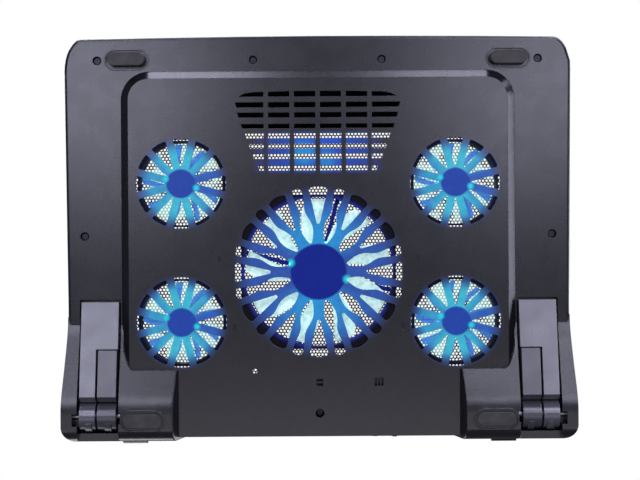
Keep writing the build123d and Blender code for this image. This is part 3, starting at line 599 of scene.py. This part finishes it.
# ------------------------------------------------------------------ fan rotors
BLADES = 9
FIRST_BLADE = -65.0     # degrees
# mm: cup (radius + 0.6), blade tip radius; degrees: sweep, blade width; steps round the cup
BIG_ROTOR = dict(hub=20.0, tip=56.6, sweep=14.0, width=23.0, steps=72, material=BLADE_BIG)
SMALL_ROTOR = dict(hub=11.0, tip=30.9, sweep=12.0, width=12.0, steps=48, material=BLADE_SMALL)


def cup(centre_x, centre_y, radius, steps):
    """Lathed cup: crowned face, rounded shoulder, skirt, inside wall."""
    # radius, height above the fan's bottom
    profile = [(0.01, 1.65), (radius * 0.5, 1.7), (radius - 2.2, 1.75), (radius - 1.2, 1.95),
               (radius - 0.4, 2.5), (radius, 3.3), (radius, 11.6), (radius - 0.3, 12.0),
               (radius - 1.3, 12.0), (radius - 1.4, 11.7), (radius - 1.4, 3.4),
               (radius - 2.4, 2.95), (0.01, 2.95)]
    verts, faces = [], []
    count = len(profile)
    for k in range(steps):
        angle = 2 * math.pi * k / steps
        this, after = k * count, (k + 1) % steps * count
        verts += [(centre_x + r * math.cos(angle), centre_y + r * math.sin(angle),
                   FAN_BOTTOM + height) for r, height in profile]
        faces += [(this + i, after + i, after + i + 1, this + i + 1) for i in range(count - 1)]
    return verts, faces


def blade(centre_x, centre_y, root, tip, base, sweep, width, start):
    """Cambered helicoid with a rounded tip corner; its vertices count from `start`."""
    rows, columns = 12, 9
    middle = []           # x, y, z, half thickness
    for i in range(rows):
        out = i / (rows - 1)
        radius = root + (tip - root) * out
        trim = 1.0 - 0.20 * max(0.0, (out - 0.82) / 0.18) ** 2
        chord = width * (0.86 + 0.14 * math.sin(math.pi * min(1, out * 1.15))) * trim
        rise = 8.036 - 1.568 * out
        for j in range(columns):
            across = j / (columns - 1) - 0.5
            arch = math.cos(math.pi * across)
            angle = math.radians(base + sweep * out ** 1.3 + chord * across)
            middle.append((centre_x + radius * math.cos(angle),
                           centre_y + radius * math.sin(angle),
                           FAN_BOTTOM + 6.0 + rise * across + 1.1 * arch, 0.28 + 0.42 * arch))
    verts = [(x, y, z + sign * half) for sign in (-1, 1) for x, y, z, half in middle]
    faces = []
    upper = start + rows * columns
    for i in range(rows - 1):
        for j in range(columns - 1):
            near, far = i * columns + j, (i + 1) * columns + j
            faces.append((start + near, start + far, start + far + 1, start + near + 1))
            faces.append((upper + near, upper + near + 1, upper + far + 1, upper + far))
    # the outline: up one edge, along the tip, down the other edge, back along the root
    loop = [i * columns for i in range(rows)]
    loop += [(rows - 1) * columns + j for j in range(1, columns)]
    loop += [i * columns + columns - 1 for i in range(rows - 2, -1, -1)]
    loop += range(columns - 2, 0, -1)
    for this, after in zip(loop, loop[1:] + loop[:1]):
        faces.append((start + this, upper + this, upper + after, start + after))
    return verts, faces


def rotor(name, centre, hub, tip, sweep, width, steps, material):
    radius = hub - 0.6
    verts, faces = cup(*centre, radius, steps)
    for i in range(BLADES):
        base = FIRST_BLADE + 360.0 / BLADES * i
        # the root is sunk 0.35 into the cup
        more_verts, more_faces = blade(*centre, radius - 0.35, tip, base, sweep, width,
                                       start=len(verts))
        verts += more_verts
        faces += more_faces
    piece = add_mesh(name + "_fan_rotor_blades", verts, faces, material, name + "_fan_rotor",
                     (name + "_fan_impeller",), smooth=True)
    shell = bmesh.new()
    shell.from_mesh(piece.data)
    bmesh.ops.recalc_face_normals(shell, faces=shell.faces)
    shell.to_mesh(piece.data)
    shell.free()


for name, centre in FANS.items():
    rotor(name, centre, **(BIG_ROTOR if name == "center" else SMALL_ROTOR))


# ------------------------------------------------------------------ stage
def floor_material():
    """Pale near the object, running out into an even backdrop; clear from below."""
    mat = Material("pale_floor")
    facing = mat.node("ShaderNodeNewGeometry", {})
    place = mat.node("ShaderNodeTexCoord", {}).outputs["Object"]
    cloud = mat.node("ShaderNodeTexNoise", {"Scale": 3.0, "Vector": place})
    far = mat.node("ShaderNodeVectorMath", {0: place}, operation="LENGTH")
    away = Value(mat.tree, far.outputs["Value"]).ramp(zero=0.35, one=1.5)
    near = mat.mix(cloud.outputs["Fac"], srgb(206, 207, 209), srgb(213, 214, 216))
    mat.set("Base Color", mat.mix(away, near, (0.0, 0.0, 0.0, 1)))
    mat.set("Roughness", 0.8)
    mat.set("Specular IOR Level", 0.1)
    mat.set("Emission Color", (1.0, 1.0, 1.0, 1))
    mat.set("Emission Strength", away * 0.72 + 0.12)
    mat.see_through(facing.outputs["Backfacing"])
    return mat


def add_floor():
    half, z = 6.0, -0.0002      # metres
    material = floor_material()
    mesh = bpy.data.meshes.new("floor")
    mesh.from_pydata([(-half, -half, z), (half, -half, z), (half, half, z), (-half, half, z)],
                     [], [(0, 1, 2, 3)])
    floor = bpy.data.objects.new("floor", mesh)
    mesh.materials.append(material.data)
    bpy.context.scene.collection.objects.link(floor)
    for ray in ("diffuse", "glossy", "transmission", "shadow"):
        setattr(floor, "visible_" + ray, False)
    return floor


def add_world():
    """White to the camera, a dim cool grey as a light."""
    world = bpy.data.worlds.new("studio")
    bpy.context.scene.world = world
    world.use_nodes = True
    tree = world.node_tree
    path = add_node(tree, "ShaderNodeLightPath", {})
    mix = add_node(tree, "ShaderNodeMix", {
        "Factor": path.outputs["Is Camera Ray"], 6: (0.12, 0.12, 0.148, 1),
        7: (1.0, 1.0, 1.0, 1)}, data_type="RGBA")
    background = tree.nodes["Background"]
    feed(tree, mix.outputs[2], background.inputs["Color"])
    background.inputs["Strength"].default_value = 1.0


floor = add_floor()
add_world()
bpy.context.scene.view_settings.view_transform = "Standard"

# ------------------------------------------------------------------ lights
off_floor = bpy.data.collections.new("off_floor")
off_floor.objects.link(floor)
off_floor.collection_objects[0].light_linking.link_state = "EXCLUDE"

WHITE = (1, 1, 1)
COOL = (0.79, 0.79, 1.0)
# Columns: name, place, target, size in metres, watts, colour.
# Soft boxes for the underside, placed in casing mm.
UNDER_LIGHTS = [
    ("under_soft_left", (-400, -265, -1010), (-180, -110, 15), (0.30, 0.42), 3.2, COOL),
    ("under_soft_right", (400, -265, -1010), (180, -110, 15), (0.27, 0.42), 2.6, COOL),
    ("under_rear", (0, 420, -1000), (0, 140, 15), (1.2, 0.36), 2.2, (0.92, 0.91, 1.0)),
    ("under_front_left", (-360, -700, -860), (-140, 100, 10), (0.30, 0.26), 2.7, COOL),
    ("under_front_right", (300, -640, -860), (140, 100, 10), (0.34, 0.24), 3.8, COOL)]
# Strips, in casing mm, that graze the sloping walls and leave the floor alone.
STRIP_LIGHTS = [
    ("strip_front_left", (-300, -760, -5), (-110, -130, 17), (0.45, 0.12), 2.6, COOL),
    ("strip_front_right", (300, -760, -5), (110, -130, 17), (0.45, 0.12), 1.9, COOL),
    ("strip_right", (780, 0, -5), (150, 0, 17), (0.60, 0.12), 1.9, COOL),
    ("strip_corner_right", (500, -620, 60), (150, -128, 17), (0.55, 0.20), 3.4, COOL)]
# Lights for the deck, placed in row metres.
DECK_LIGHTS = [
    ("deck_key", (-0.6, -0.7, 1.1), (0, 0, 0.02), (0.9, 0.9), 17.0, WHITE),
    ("deck_fill", (0.9, 0.5, 0.8), (0, 0, 0.02), (0.9, 0.9), 9.0, WHITE),
    ("deck_back", (-0.5, 1.1, 0.55), (0, 0.1, 0.02), (0.7, 0.5), 5.0, WHITE)]


def area_light(name, place, target, size, watts, colour):
    """Rectangle light at `place`, aimed at `target`, both in row metres."""
    light = bpy.data.lights.new(name, "AREA")
    light.shape = "RECTANGLE"
    light.size, light.size_y = size
    light.energy = watts
    light.color = colour
    lamp = bpy.data.objects.new(name, light)
    bpy.context.scene.collection.objects.link(lamp)
    lamp.location = place
    lamp.rotation_mode = "QUATERNION"
    lamp.rotation_quaternion = (target - place).to_track_quat("-Z", "Y")
    lamp.visible_camera = False
    return lamp


for name, place, target, *rest in UNDER_LIGHTS:
    area_light(name, to_row(*place), to_row(*target), *rest)
for name, place, target, *rest in STRIP_LIGHTS:
    strip = area_light(name, to_row(*place), to_row(*target), *rest)
    strip.light_linking.receiver_collection = off_floor
for name, place, target, *rest in DECK_LIGHTS:
    area_light(name, Vector(place), Vector(target), *rest)

# ------------------------------------------------------------------ camera
VIEW_DISTANCE = 1040.0      # mm below the viewed plane
VIEW_WIDTH = 496.0          # mm seen across at that distance
VIEW_CENTRE = (1.24, 1.1, 14.5)
ROLL = 0.0065               # radians


def add_camera():
    """Looks straight up at the underside, with the casing's front at the top."""
    data = bpy.data.cameras.new("camera")
    camera = bpy.data.objects.new("camera", data)
    bpy.context.scene.collection.objects.link(camera)
    bpy.context.scene.camera = camera
    data.sensor_width = 36.0
    data.lens = 36.0 * VIEW_DISTANCE / VIEW_WIDTH
    data.clip_start, data.clip_end = 0.01, 50.0
    right = Vector((math.cos(ROLL), math.sin(ROLL), 0))
    top = Vector((math.sin(ROLL), -math.cos(ROLL), 0))
    basis = Matrix((right, top, Vector((0, 0, -1)))).transposed()
    camera.rotation_mode = "QUATERNION"
    camera.rotation_quaternion = (ROTATION.to_3x3() @ basis).to_quaternion()
    x, y, z = VIEW_CENTRE
    camera.location = to_row(x, y, z - VIEW_DISTANCE)


add_camera()

bpy.context.view_layer.update()
